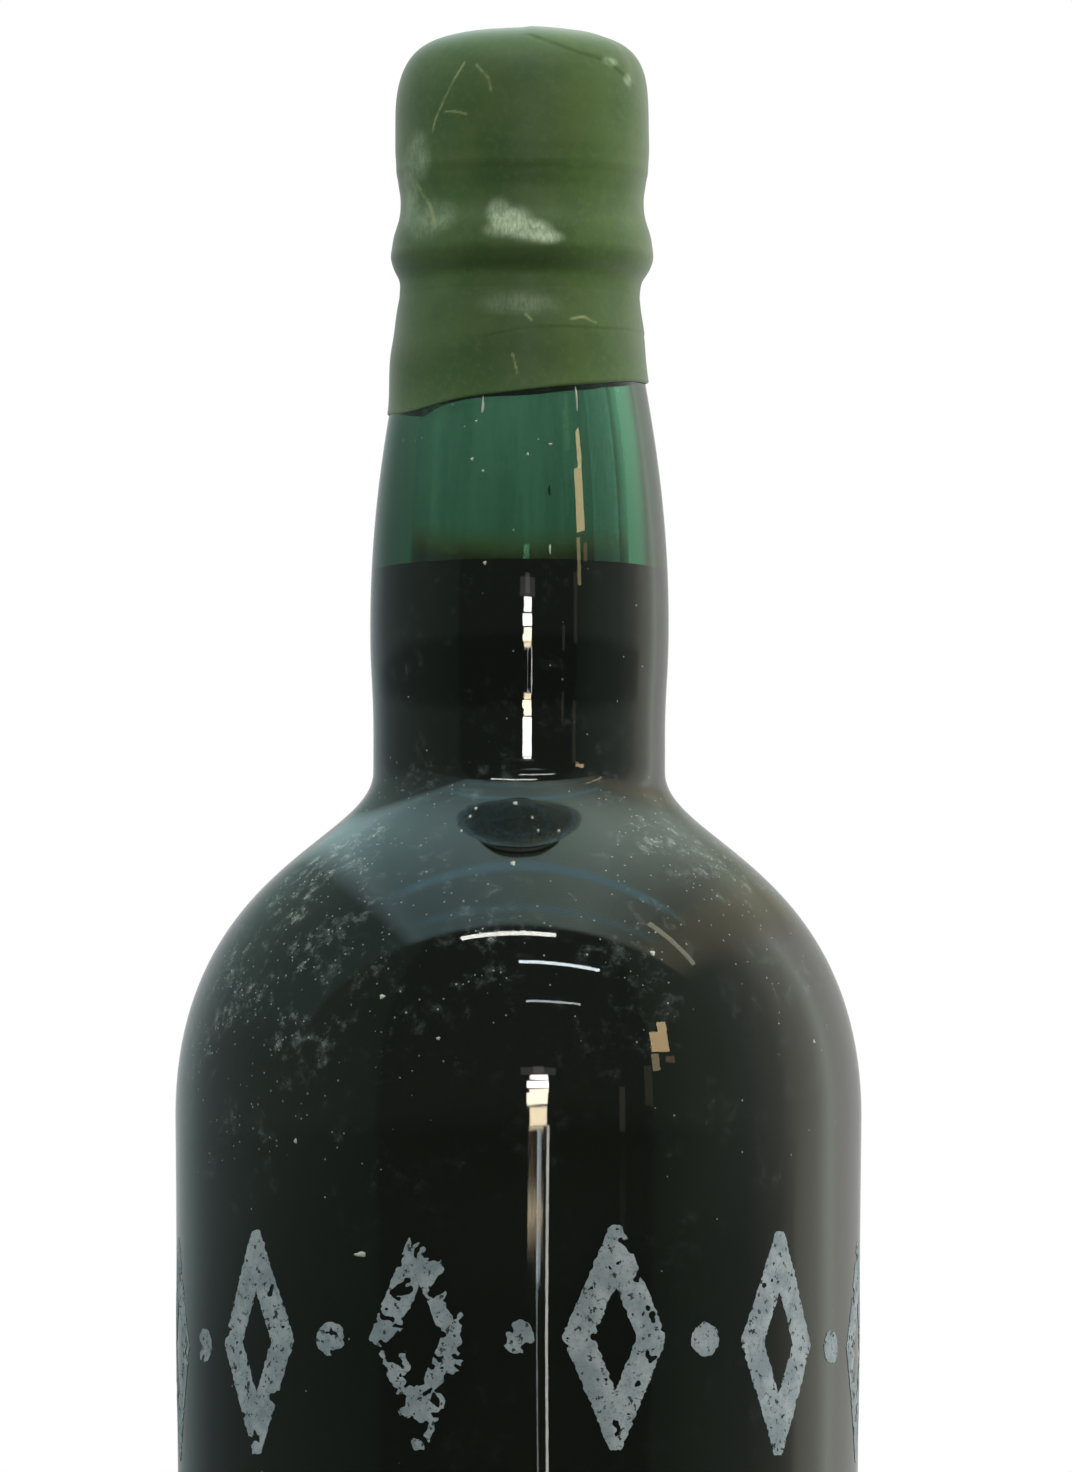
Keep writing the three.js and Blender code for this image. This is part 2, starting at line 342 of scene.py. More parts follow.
def arc(centre, radius, start, end, steps=10):
    angles = np.radians(np.linspace(start, end, steps + 1))
    return np.array(centre) + radius * np.stack([np.cos(angles), np.sin(angles)], axis=1)


def line(start, end, steps):
    t = np.linspace(0.0, 1.0, steps + 1)[:, None]
    return (1 - t) * np.array(start, float) + t * np.array(end, float)


def join(*runs):
    """The runs one after another, without the points that repeat."""
    points = np.concatenate(runs)
    steps = np.linalg.norm(np.diff(points, axis=0), axis=1)
    return points[np.concatenate([[True], steps > 1e-7])]


def smooth(low, high, value):
    t = np.clip((value - low) / (high - low), 0.0, 1.0)
    return t * t * (3 - 2 * t)


def normals(outline):
    """Unit vectors square to an outline, to the right of its way."""
    along = np.gradient(outline, axis=0)
    along /= np.linalg.norm(along, axis=1)[:, None]
    return np.stack([along[:, 1], -along[:, 0]], axis=1)


def body_radius(height):
    low = FOOT_OUTER + HEEL_RADIUS
    return low + (BODY_RADIUS - low) * (height - HEEL_RADIUS) / (BODY_HEIGHT - HEEL_RADIUS)


def body_side():
    return line((FOOT_OUTER + HEEL_RADIUS, HEEL_RADIUS), (BODY_RADIUS, BODY_HEIGHT), 40)


def shoulder_and_neck():
    """Outside of the glass from the top of the body to the seam under the lip."""
    shoulder = bezier(
        (BODY_RADIUS, BODY_HEIGHT),
        (BODY_RADIUS, BODY_HEIGHT + SHOULDER_FULLNESS),
        (WAIST_RADIUS, WAIST_HEIGHT - SHOULDER_FILLET),
        (WAIST_RADIUS, WAIST_HEIGHT),
        48,
    )
    upper_neck = bezier(
        (BULGE_RADIUS, BULGE_HEIGHT),
        (BULGE_RADIUS, BULGE_HEIGHT + NECK_FULLNESS),
        (COLLAR_RADIUS + COLLAR_LEAD * COLLAR_SLOPE, COLLAR_HEIGHT - COLLAR_LEAD),
        (COLLAR_RADIUS, COLLAR_HEIGHT),
        36,
    )
    return join(
        shoulder,
        line((WAIST_RADIUS, WAIST_HEIGHT), (WAIST_RADIUS, WAIST_TOP), 6),
        ease((WAIST_RADIUS, WAIST_TOP), (BULGE_RADIUS, BULGE_HEIGHT), 18, lead=0.45),
        upper_neck,
        ease((COLLAR_RADIUS, COLLAR_HEIGHT), (RING_RADIUS, RING_HEIGHT)),
        ease((RING_RADIUS, RING_HEIGHT), (GROOVE_RADIUS, GROOVE_HEIGHT)),
        ease((GROOVE_RADIUS, GROOVE_HEIGHT), (LIP_RADIUS, SEAM_HEIGHT)),
    )


OUTSIDE = shoulder_and_neck()


def outside_radius(height):
    """Radius of the glass at a height on the shoulder or the neck."""
    return np.interp(height, OUTSIDE[:, 1], OUTSIDE[:, 0])


def glass_inside():
    """Inside of the glass from the middle of the punt out to the heel and up to the mouth."""
    heel_centre = (FOOT_OUTER + HEEL_RADIUS - BODY_WALL - INNER_HEEL, BASE_WALL + INNER_HEEL)
    punt = bezier(
        (0.0, PUNT_HEIGHT + BASE_WALL),
        (PUNT_CROWN + BASE_WALL, PUNT_HEIGHT + BASE_WALL),
        (heel_centre[0] - PUNT_TROUGH, BASE_WALL),
        (heel_centre[0], BASE_WALL),
    )
    below_bulge = OUTSIDE[OUTSIDE[:, 1] <= BULGE_HEIGHT + 1e-9]
    share = smooth(BODY_HEIGHT, WAIST_HEIGHT, below_bulge[:, 1])
    wall = below_bulge - normals(below_bulge) * (BODY_WALL + (NECK_WALL - BODY_WALL) * share)[:, None]
    top = wall[-1]
    flare = bezier(
        top,
        (top[0], top[1] + FLARE_FULLNESS),
        (BORE_RADIUS + BORE_LEAD * BORE_SLOPE, BORE_BOTTOM - BORE_LEAD),
        (BORE_RADIUS, BORE_BOTTOM),
    )
    bore = line((BORE_RADIUS, BORE_BOTTOM), (BORE_RADIUS, MOUTH_HEIGHT - BORE_EDGE), 12)
    return join(punt, arc(heel_centre, INNER_HEEL, -90, 0), wall, flare, bore)


INSIDE = glass_inside()


def cap_outline():
    """Outer face of the wax from the seam up its side and over its dome."""
    seam = (LIP_RADIUS + WAX_COAT, SEAM_HEIGHT)
    flush = (CAP_RADIUS, SEAM_HEIGHT + CAP_FLUSH)
    side = join(ease(seam, flush), line(flush, (CAP_RADIUS, DOME_START), 18))
    dome = bezier(
        (CAP_RADIUS, DOME_START),
        (CAP_RADIUS, DOME_START + DOME_SHOULDER),
        (CAP_RADIUS - DOME_EASE, CROWN_HEIGHT),
        (0.0, CROWN_HEIGHT),
        90,
    )
    return join(side, dome)


# Meshes

def ring_angles(sides):
    return np.arange(sides) * 2 * np.pi / sides


def loft(name, radius, height, closed=False, shift=0.0, marks=None):
    """A skin through rings of points, with a row for each ring and a column for each side.

    A ring of no radius becomes one point. A closed skin joins its last ring to its first.
    """
    sides = radius.shape[1]
    angles = ring_angles(sides)
    x = radius * np.sin(angles) + shift
    y = -radius * np.cos(angles)
    points = np.stack([x, y, height], axis=-1)
    coords = []
    rings = []
    kept = []
    count = 0
    for row, ring_radius in enumerate(radius.max(axis=1)):
        used = 1 if ring_radius < 1e-9 else sides
        coords.append(points[row, :used])
        kept.append(np.arange(used) + row * sides)
        rings.append(np.arange(sides) % used + count)
        count += used
    faces = []
    pairs = list(zip(rings, rings[1:]))
    if closed:
        pairs.append((rings[-1], rings[0]))
    for lower, upper in pairs:
        quads = np.stack([lower, np.roll(lower, -1), np.roll(upper, -1), upper], axis=1)
        faces.extend(list(dict.fromkeys(quad)) for quad in quads.tolist())
    made = mesh_object(name, np.concatenate(coords), faces)
    order = np.concatenate(kept)
    for mark, values in (marks or {}).items():
        attribute = made.data.attributes.new(mark, "FLOAT", "POINT")
        attribute.data.foreach_set("value", values.ravel()[order].astype(np.float32))
    return made


def mesh_object(name, points, faces):
    mesh = bpy.data.meshes.new(name)
    mesh.from_pydata([tuple(p) for p in points], [], faces)
    work = bmesh.new()
    work.from_mesh(mesh)
    bmesh.ops.recalc_face_normals(work, faces=work.faces)
    work.to_mesh(mesh)
    work.free()
    mesh.shade_smooth()
    mesh.set_sharp_from_angle(angle=math.radians(40))
    made = bpy.data.objects.new(name, mesh)
    bpy.context.scene.collection.objects.link(made)
    return made


def ripples(seed, count, most_turns, shortest):
    """A smooth random field over angle and height, about -1 to 1."""
    random = np.random.default_rng(seed)
    turns = random.integers(0, most_turns + 1, count)
    rates = random.uniform(-1.0, 1.0, count) * 2 * np.pi / shortest
    phases = random.uniform(0.0, 2 * np.pi, count)

    def field(angle, height):
        waves = [np.sin(m * angle + k * height + p) for m, k, p in zip(turns, rates, phases)]
        return sum(waves) / math.sqrt(count)

    return field


GLASS_RIPPLE = ripples(3, 14, 9, 30 * MM)


def glass_wave(angle, height):
    """How far the glass stands proud of its smooth outline, less on the neck."""
    return GLASS_WAVE * (1 - NECK_CALM * smooth(*CALM_SPAN, height)) * GLASS_RIPPLE(angle, height)


def finish_piece(piece, body, material, node):
    piece.data.materials.append(material)
    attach(piece, body)
    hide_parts(node)


# Shader nodes

def put(tree, socket, value):
    if isinstance(value, bpy.types.NodeSocket):
        tree.links.new(value, socket)
    else:
        socket.default_value = value


def add(tree, kind, inputs=None, **settings):
    made = tree.nodes.new("ShaderNode" + kind)
    for name, value in settings.items():
        setattr(made, name, value)
    for name, value in (inputs or {}).items():
        put(tree, made.inputs[name], value)
    return made


def mapped(tree, value, low, high, to_low=0.0, to_high=1.0):
    """A value from low to high, softly brought to another range and held at its ends."""
    made = add(tree, "MapRange", interpolation_type="SMOOTHSTEP")
    put(tree, made.inputs["Value"], value)
    made.inputs["From Min"].default_value = low
    made.inputs["From Max"].default_value = high
    made.inputs["To Min"].default_value = to_low
    made.inputs["To Max"].default_value = to_high
    return made.outputs["Result"]


def mixed(tree, share, first, second):
    """One colour turning into another."""
    made = add(tree, "Mix", data_type="RGBA")
    put(tree, made.inputs[0], share)
    put(tree, made.inputs[6], first)
    put(tree, made.inputs[7], second)
    return made.outputs[2]


def maths(tree, operation, *values):
    made = add(tree, "Math", operation=operation)
    for socket, value in zip(made.inputs, values):
        put(tree, socket, value)
    return made.outputs[0]


def noise(tree, place, scale, detail=3.0, roughness=0.5):
    settings = {"Vector": place, "Scale": scale, "Detail": detail, "Roughness": roughness}
    return add(tree, "TexNoise", settings).outputs[0]


def attribute(tree, name):
    return add(tree, "Attribute", attribute_name=name).outputs["Fac"]


def new_material(name):
    material = bpy.data.materials.new(name)
    material.use_nodes = True
    tree = material.node_tree
    tree.nodes.clear()
    output = add(tree, "OutputMaterial")
    shader = add(tree, "BsdfPrincipled")
    tree.links.new(shader.outputs[0], output.inputs["Surface"])
    place = add(tree, "TexCoord").outputs["Object"]
    return material, tree, shader, output, place


def rgb(red, green, blue):
    return (red, green, blue, 1.0)


def bumped(tree, shader, height, strength, distance):
    made = add(tree, "Bump", {"Height": height, "Strength": strength, "Distance": distance})
    tree.links.new(made.outputs[0], shader.inputs["Normal"])


# Materials

def glass_material():
    material, tree, shader, output, place = new_material("bottle_glass")
    split = add(tree, "SeparateXYZ", {"Vector": place})
    across, depth, height = (split.outputs[name] for name in "XYZ")
    squared = maths(tree, "MULTIPLY_ADD", across, across, maths(tree, "MULTIPLY", depth, depth))
    radius = maths(tree, "SQRT", squared)
    inner = mapped(tree, radius, *NECK_INNER_SPAN, 1.0, 0.0)
    aside = maths(tree, "DIVIDE", across, maths(tree, "MAXIMUM", radius, 1.0 * MM))
    level = maths(tree, "MULTIPLY_ADD", maths(tree, "MULTIPLY", aside, aside), -FILM_SAG, height)
    # Amber film tint, then a near-black band that is partly the film and partly painted shade of the meniscus
    # just above the wine line
    amber, film_shade = (
        mapped(tree, level, WINE_LEVEL + low, WINE_LEVEL + high, 1.0, 0.0)
        for low, high in (AMBER_SPAN, FILM_SHADE_SPAN)
    )
    drawn_out = add(tree, "Mapping", {"Vector": place, "Scale": (1.0, 1.0, 0.05)}).outputs[0]
    streaks = mapped(tree, noise(tree, drawn_out, 330.0, 3.0, 0.6), 0.40, 0.62, 0.0, 0.8)
    stained = mixed(tree, maths(tree, "MULTIPLY", inner, streaks), GLASS_CLEAR, GLASS_STREAK)
    stained = mixed(tree, maths(tree, "MULTIPLY", inner, amber), stained, GLASS_AMBER)
    stained = mixed(tree, maths(tree, "MULTIPLY", inner, film_shade), stained, GLASS_FILM_SHADE)
    loose, haze = glass_dust(tree, place)
    dust = maths(tree, "MAXIMUM", loose, haze)
    tree.links.new(mixed(tree, dust, stained, DUST), shader.inputs["Base Color"])
    shader.inputs["IOR"].default_value = 1.52
    tree.links.new(mapped(tree, loose, 0.0, 1.0, 0.02, 0.8), shader.inputs["Roughness"])
    tree.links.new(mapped(tree, dust, 0.0, 1.0, 1.0, 0.0), shader.inputs["Transmission Weight"])
    volume = add(tree, "VolumeAbsorption")
    volume.inputs["Color"].default_value = GLASS_DEEP
    volume.inputs["Density"].default_value = GLASS_DENSITY
    tree.links.new(volume.outputs[0], output.inputs["Volume"])
    return material


def glass_dust(tree, place):
    """Loose dust in smudges and specks, thickest where the vertices say, and a thin even haze."""
    settled = attribute(tree, "dust")
    patches = mapped(tree, noise(tree, place, 130.0, 3.0, 0.6), 0.38, 0.62)
    fluff = maths(tree, "MULTIPLY", patches, mapped(tree, noise(tree, place, 480.0, 5.0, 0.75), 0.42, 0.76))
    crowd = mapped(tree, settled, 0.2, 0.9, 0.0, 0.5)
    few = mapped(tree, settled, 0.12, 0.60, 0.004, 0.24)
    specks = dust_specks(tree, place, 0.7 * MM, 0.24, maths(tree, "MULTIPLY_ADD", crowd, patches, few))
    loose = maths(tree, "MULTIPLY_ADD", specks, 0.55, maths(tree, "MULTIPLY", fluff, settled))
    haze = mapped(tree, noise(tree, place, 60.0, 3.0, 0.5), 0.35, 0.70, 0.010, 0.020)
    return maths(tree, "MULTIPLY", loose, 0.55), haze


def dust_specks(tree, place, spacing, reach, share):
    """1 on round specks, of which a share of the places of this spacing has one, 0 between them."""
    cells = add(tree, "TexVoronoi", {"Vector": place, "Scale": 1 / spacing})
    chance = add(tree, "SeparateColor", {"Color": cells.outputs["Color"]}).outputs[0]
    there = maths(tree, "LESS_THAN", chance, share)
    round_speck = mapped(tree, cells.outputs["Distance"], 0.5 * reach, reach, 1.0, 0.0)
    return maths(tree, "MULTIPLY", there, round_speck)


def wine_material():
    material, tree, shader, _, place = new_material("wine")
    cloud = noise(tree, place, 40.0, 2.0, 0.5)
    colour = mixed(tree, cloud, WINE_DARK, WINE_LIGHT)
    tree.links.new(colour, shader.inputs["Base Color"])
    shader.inputs["Roughness"].default_value = 0.08
    shader.inputs["Specular IOR Level"].default_value = 0.0
    return material


def cork_material():
    """Cork with dark pores, stained by the wine at its lower end."""
    material, tree, shader, _, place = new_material("cork")
    grain = noise(tree, place, 900.0, 5.0, 0.6)
    drawn = add(tree, "Mapping", {"Vector": place, "Scale": (1.0, 1.0, 2.6)}).outputs[0]
    pores = mapped(tree, noise(tree, drawn, 330.0, 3.0, 0.6), 0.60, 0.68)
    colour = mixed(tree, mapped(tree, grain, 0.35, 0.65), CORK_DARK, CORK_LIGHT)
    colour = mixed(tree, pores, colour, CORK_PORE)
    height = add(tree, "SeparateXYZ", {"Vector": place}).outputs["Z"]
    uneven = maths(tree, "MULTIPLY_ADD", noise(tree, place, 220.0), 6.0 * MM, height)
    stain = mapped(tree, uneven, cork_low.z + 3.0 * MM, cork_low.z + 8.5 * MM, 0.85, 0.0)
    colour = mixed(tree, stain, colour, CORK_STAIN)
    tree.links.new(colour, shader.inputs["Base Color"])
    shader.inputs["Roughness"].default_value = 0.85
    bumped(tree, shader, maths(tree, "SUBTRACT", grain, pores), 0.5, 0.25 * MM)
    return material


def wax_material():
    """Dull green wax with pale scuffs and scratches where the vertices say, and painted shade darkening its
    skirt.
    """
    material, tree, shader, _, place = new_material("sealing_wax")
    broad = noise(tree, place, 120.0, 3.0, 0.55)
    grain = noise(tree, place, 1200.0, 4.0, 0.65)
    colour = mixed(tree, mapped(tree, broad, 0.35, 0.65), WAX_DARK, WAX_LIGHT)
    colour = mixed(tree, mapped(tree, grain, 0.45, 0.75, 0.0, 0.5), colour, WAX_GRAIN)
    height = add(tree, "SeparateXYZ", {"Vector": place}).outputs["Z"]
    # Painted shade: the wax colour is darkened on the skirt, between its lower edge and the underside of the
    # ring
    above_edge = mapped(tree, height, 258 * MM, 264 * MM)
    under_ring = mapped(tree, height, 268 * MM, 271 * MM, 1.0, 0.0)
    skirt = maths(tree, "MULTIPLY", above_edge, under_ring)
    colour = scaled(tree, colour, mapped(tree, skirt, 0.0, 1.0, 1.0, 0.88))
    brushed = add(tree, "Mapping", {"Vector": place, "Scale": (1.0, 1.0, 0.3)}).outputs[0]
    fibres = mapped(tree, noise(tree, brushed, 3600.0, 3.0, 0.6), 0.30, 0.70, 0.55, 1.0)
    cloud = mapped(tree, noise(tree, place, 420.0, 5.0, 0.7), 0.32, 0.62, 0.40, 1.0)
    scuff = maths(tree, "MULTIPLY", attribute(tree, "scuff"), maths(tree, "MULTIPLY", fibres, cloud))
    colour = mixed(tree, scuff, colour, WAX_SCUFFED)
    broken = mapped(tree, noise(tree, place, 800.0, 2.0, 0.5), 0.35, 0.60, 0.25, 0.85)
    scratch = maths(tree, "MULTIPLY", attribute(tree, "scratch"), broken)
    colour = mixed(tree, scratch, colour, WAX_SCRATCHED)
    tree.links.new(colour, shader.inputs["Base Color"])
    shader.inputs["Roughness"].default_value = 0.45
    shader.inputs["Specular IOR Level"].default_value = 0.3
    shader.inputs["Sheen Weight"].default_value = 0.4
    shader.inputs["Sheen Roughness"].default_value = 0.4
    bumped(tree, shader, grain, 0.25, 0.08 * MM)
    return material


def paint_material():
    """Worn chalky paint."""
    material, tree, shader, _, place = new_material("worn_paint")
    broad = noise(tree, place, 300.0, 4.0, 0.6)
    grain = noise(tree, place, 2200.0, 4.0, 0.7)
    colour = mixed(tree, mapped(tree, broad, 0.35, 0.68), PAINT_DARK, PAINT_LIGHT)
    colour = mixed(tree, mapped(tree, grain, 0.52, 0.68, 0.0, 0.55), colour, PAINT_GRAIN)
    pits = mapped(tree, noise(tree, place, 1300.0, 3.0, 0.65), 0.58, 0.64)
    colour = mixed(tree, pits, colour, PAINT_PIT)
    tree.links.new(colour, shader.inputs["Base Color"])
    shader.inputs["Roughness"].default_value = 0.75
    bumped(tree, shader, grain, 0.4, 0.05 * MM)
    return material


def speck_material():
    material, tree, shader, _, place = new_material("dried_specks")
    broad = noise(tree, place, 700.0, 3.0, 0.6)
    colour = mixed(tree, broad, SPECK_DARK, SPECK_LIGHT)
    tree.links.new(colour, shader.inputs["Base Color"])
    shader.inputs["Roughness"].default_value = 0.6
    return material


# Pieces

def settled_dust(angle, height):
    """How much dust lies on the glass: most on the shoulder and under the neck, less on the body."""
    shoulder = smooth(*DUST_SHOULDER_SPAN, height) * (1 - smooth(*DUST_NECK_SPAN, height))
    foot_of_neck = np.exp(-((height - NECK_FOOT) / NECK_FOOT_HALF) ** 2)
    aside = angle_from(angle, SMUDGE_ANGLE) / SMUDGE_HALF
    smudge = np.exp(-aside ** 2 - ((height - SMUDGE_HEIGHT) / SMUDGE_HALF_HEIGHT) ** 2)
    left = 0.5 - 0.5 * np.sin(angle)
    front = np.exp(-(angle_from(angle, 0.0) / WIPED_HALF) ** 4)
    even = DUST_ON_BODY + DUST_UP_BODY * smooth(*DUST_BODY_SPAN, height)
    even = even + (DUST_ON_SHOULDER + DUST_AT_LEFT * left) * shoulder + DUST_UNDER_NECK * foot_of_neck
    return even * (1 - WIPED_SHARE * front * foot_of_neck) + SMUDGE_SHARE * smudge


def angle_from(angle, degrees):
    """Angle from a direction, the short way round."""
    return (angle - math.radians(degrees) + np.pi) % (2 * np.pi) - np.pi


def make_glass():
    punt = bezier(
        (0.0, PUNT_HEIGHT), (PUNT_CROWN, PUNT_HEIGHT), (FOOT_INNER, PUNT_STEEPNESS), (FOOT_INNER, 0.0)
    )
    under = join(punt, line((FOOT_INNER, 0.0), (FOOT_OUTER, 0.0), 4))
    outer = join(
        arc((FOOT_OUTER, HEEL_RADIUS), HEEL_RADIUS, -90, 0),
        body_side(),
        OUTSIDE,
        line((LIP_RADIUS, SEAM_HEIGHT), (LIP_RADIUS, MOUTH_HEIGHT - LIP_EDGE), 4),
        arc((LIP_RADIUS - LIP_EDGE, MOUTH_HEIGHT - LIP_EDGE), LIP_EDGE, 0, 90),
        arc((BORE_RADIUS + BORE_EDGE, MOUTH_HEIGHT - BORE_EDGE), BORE_EDGE, 90, 180, 5),
    )
    outline = join(under, outer, INSIDE[::-1])
    radius = np.repeat(outline[:, :1], GLASS_SIDES, axis=1)
    height = np.repeat(outline[:, 1:], GLASS_SIDES, axis=1)
    first = len(under) + 4
    last = first + len(join(body_side(), OUTSIDE))
    outer_rows = np.zeros(len(outline))
    outer_rows[first:last] = 1.0
    radius += glass_wave(ring_angles(GLASS_SIDES), height) * outer_rows[:, None]
    dust = outer_rows[:, None] * settled_dust(ring_angles(GLASS_SIDES)[None, :], height)
    piece = loft("glass_bottle_visual", radius, height, marks={"dust": dust})
    finish_piece(piece, "bottle", glass_material(), "glass_bottle")


def make_wine():
    level = WINE_LEVEL - WINE_EDGE
    below = INSIDE[INSIDE[:, 1] <= level]
    skin = below + normals(below) * WINE_OVERLAP
    skin[0, 0] = 0.0
    edge = skin[-1, 0]
    reach = np.linspace(0.0, 1.0, 13)
    top_radius = edge - MENISCUS_REACH * reach
    top_height = level - MENISCUS_DIP + MENISCUS_DIP * (1 - reach) ** 2.6
    top = np.stack([top_radius, top_height], axis=1)
    outline = join(skin, line(skin[-1], top[0], 2), top, line(top[-1], (0.0, top_height[-1]), 6))
    radius = np.repeat(outline[:, :1], GLASS_SIDES, axis=1)
    height = np.repeat(outline[:, 1:], GLASS_SIDES, axis=1)
    piece = loft("wine_visual", radius, height)
    finish_piece(piece, "bottle", wine_material(), "wine")


def make_cork():
    chamfer = CORK_CHAMFER
    outline = join(
        line((0.0, cork_low.z), (CORK_RADIUS - chamfer, cork_low.z), 20),
        arc((CORK_RADIUS - chamfer, cork_low.z + chamfer), chamfer, -90, 0, 6),
        line((CORK_RADIUS, cork_low.z + chamfer), (CORK_RADIUS, cork_high.z - chamfer), 90),
        arc((CORK_RADIUS - chamfer, cork_high.z - chamfer), chamfer, 0, 90, 6),
        line((CORK_RADIUS - chamfer, cork_high.z), (0.0, cork_high.z), 20),
    )
    radius = np.repeat(outline[:, :1], CORK_SIDES, axis=1)
    height = np.repeat(outline[:, 1:], CORK_SIDES, axis=1)
    piece = loft("cork_visual", radius, height)
    finish_piece(piece, "cork", cork_material(), "cork_stopper")


WAX_LUMPS = ripples(11, 18, 7, 9 * MM)


def wax_stroke(angle, height, width, points):
    """1 along a line over the wax, 0 from its width outwards."""
    nearest = np.full(np.broadcast(angle, height).shape, 1e9)
    for (start, low), (end, high) in zip(points, points[1:]):
        across = WAX_GIRTH * math.radians(end - start)
        rise = high - low
        u = WAX_GIRTH * angle_from(angle, start)
        v = height / MM - low
        along = np.clip((u * across + v * rise) / (across ** 2 + rise ** 2), 0.0, 1.0)
        nearest = np.minimum(nearest, np.hypot(u - along * across, v - along * rise))
    return 1 - smooth(0.35 * width, width, nearest)


def wax_wear(angle, height):
    """Scuffs and scratches of the wax, each from 0 to 1."""
    scratch = np.zeros(np.broadcast(angle, height).shape)
    for width, points in WAX_SCRATCHES:
        scratch = np.maximum(scratch, wax_stroke(angle, height, width, points))
    kept = np.ones(scratch.shape)
    for strength, degrees, middle, half_width, half_height in WAX_SCUFFS:
        u = WAX_GIRTH * angle_from(angle, degrees) / half_width
        v = (height / MM - middle) / half_height
        kept = kept * (1 - strength * (1 - smooth(0.25, 1.0, np.hypot(u, v))))
    return {"scuff": 1 - kept, "scratch": scratch}


def wax_line(angle, points):
    """Height of a line round the wax, and a share that fades out past its ends."""
    degrees = np.degrees(angle_from(angle, 0.0))
    first = points[0][0]
    last = points[0][-1]
    ends = smooth(first - LINE_FADE, first + LINE_FADE, degrees)
    ends = ends * (1 - smooth(last - LINE_FADE, last + LINE_FADE, degrees))
    return np.interp(degrees, *points) * MM, ends


def hump(height, middle, half):
    return np.exp(-((height / MM - middle) / half) ** 2)


def wax_relief(angle, height):
    """How far the wax stands proud of its smooth outline."""
    relief = WAX_LUMP * WAX_LUMPS(angle, height)
    for proud, middle, half in WAX_ROLLS:
        relief = relief + proud * MM * hump(height, middle, half)
    lap, ends = wax_line(angle, SKIRT_LAP)
    above = height - lap
    relief = relief + LAP_STEP * ends * smooth(-LAP_EDGE, LAP_EDGE, above) * (1 - smooth(*LAP_SPAN, above))
    fold, ends = wax_line(angle, DOME_FOLD)
    return relief + FOLD_STEP * ends * smooth(*FOLD_SPAN, height - fold)


def wax_shift(height):
    """How far the coat hangs to the right of the glass: a little at its top, to the left under the ring."""
    right = sum(share * smooth(low * MM, high * MM, height) for share, low, high in WAX_LEANS)
    tuck, middle, half = WAX_TUCK
    return MM * (right - tuck * hump(height, middle, half))


def skirt_edge(angles):
    """Height of the skirt's lower edge: slanted, lower in front than behind, and a little uneven."""
    edge = SKIRT_MIDDLE + outside_radius(SKIRT_MIDDLE) * np.sin(angles) * SKIRT_SLANT
    edge = edge - SKIRT_DIP * np.cos(angles) + SKIRT_SADDLE * np.cos(2 * angles)
    for rise, degrees, half in SKIRT_BENDS:
        edge = edge + rise * MM * np.exp(-(angle_from(angles, degrees) / half) ** 2)
    return edge + SKIRT_WOBBLE * ripples(5, 8, 9, 1.0)(angles, 0.0 * angles)


def make_wax_skirt():
    angles = ring_angles(WAX_SIDES)[None, :]
    edge = skirt_edge(angles)
    height = edge + (SEAM_HEIGHT - edge) * np.linspace(0.0, 1.0, SKIRT_ROWS)[:, None] ** SKIRT_CROWDING
    above = height - edge
    thin = WAX_EDGE * (1 + EDGE_SWAY * np.sin(angles))
    full = thin + (WAX_COAT - thin) * smooth(0.0, WAX_FEATHER, above)
    rim = np.sqrt(1 - (1 - np.clip(above / SKIRT_RIM, 0.0, 1.0)) ** 2)
    coat = full * (RIM_SHARE + (1 - RIM_SHARE) * rim)
    outer = outside_radius(height) + coat + wax_relief(angles, height) * rim
    inner_height = SEAM_HEIGHT + (edge - SEAM_HEIGHT) * np.linspace(0.0, 1.0, SKIRT_INNER_ROWS)[:, None]
    inner = outside_radius(inner_height) + WAX_GAP
    radius = np.concatenate([outer, inner])
    heights = np.concatenate([height, inner_height])
    shift = np.concatenate([wax_shift(height), 0 * inner])
    wear = wax_wear(angles, heights)
    piece = loft("wax_skirt_visual", radius, heights, closed=True, shift=shift, marks=wear)
    finish_piece(piece, "bottle", WAX, "wax_skirt")


def make_wax_cap():
    outline = cap_outline()
    angles = ring_angles(WAX_SIDES)[None, :]
    square = normals(outline)
    fade = smooth(0.0, CROWN_FADE, outline[:, :1])
    relief = wax_relief(angles, outline[:, 1:]) * fade
    radius = outline[:, :1] + square[:, :1] * relief
    height = outline[:, 1:] + square[:, 1:] * relief
    inner_radius = LIP_RADIUS + CAP_GAP
    roof = MOUTH_HEIGHT + CAP_GAP
    inner = join(
        line((0.0, roof), (inner_radius - LIP_EDGE, roof), 8),
        arc((inner_radius - LIP_EDGE, roof - LIP_EDGE), LIP_EDGE, 90, 0),
        line((inner_radius, roof - LIP_EDGE), (inner_radius, SEAM_HEIGHT), 6),
    )
    radius = np.concatenate([np.repeat(inner[:, :1], WAX_SIDES, axis=1), radius])
    shift = np.concatenate([np.zeros((len(inner), WAX_SIDES)), wax_shift(height)])
    height = np.concatenate([np.repeat(inner[:, 1:], WAX_SIDES, axis=1), height])
    piece = loft("wax_cap_visual", radius, height, shift=shift, marks=wax_wear(angles, height))
    finish_piece(piece, "wax_cap", WAX, "wax_cap")


MARK_FLAKES = ripples(21, 60, 70, 3.0 * MM)
MARK_CHIPS = ripples(23, 80, 260, 0.9 * MM)
MARK_FRAY = ripples(22, 60, 420, 0.6 * MM)


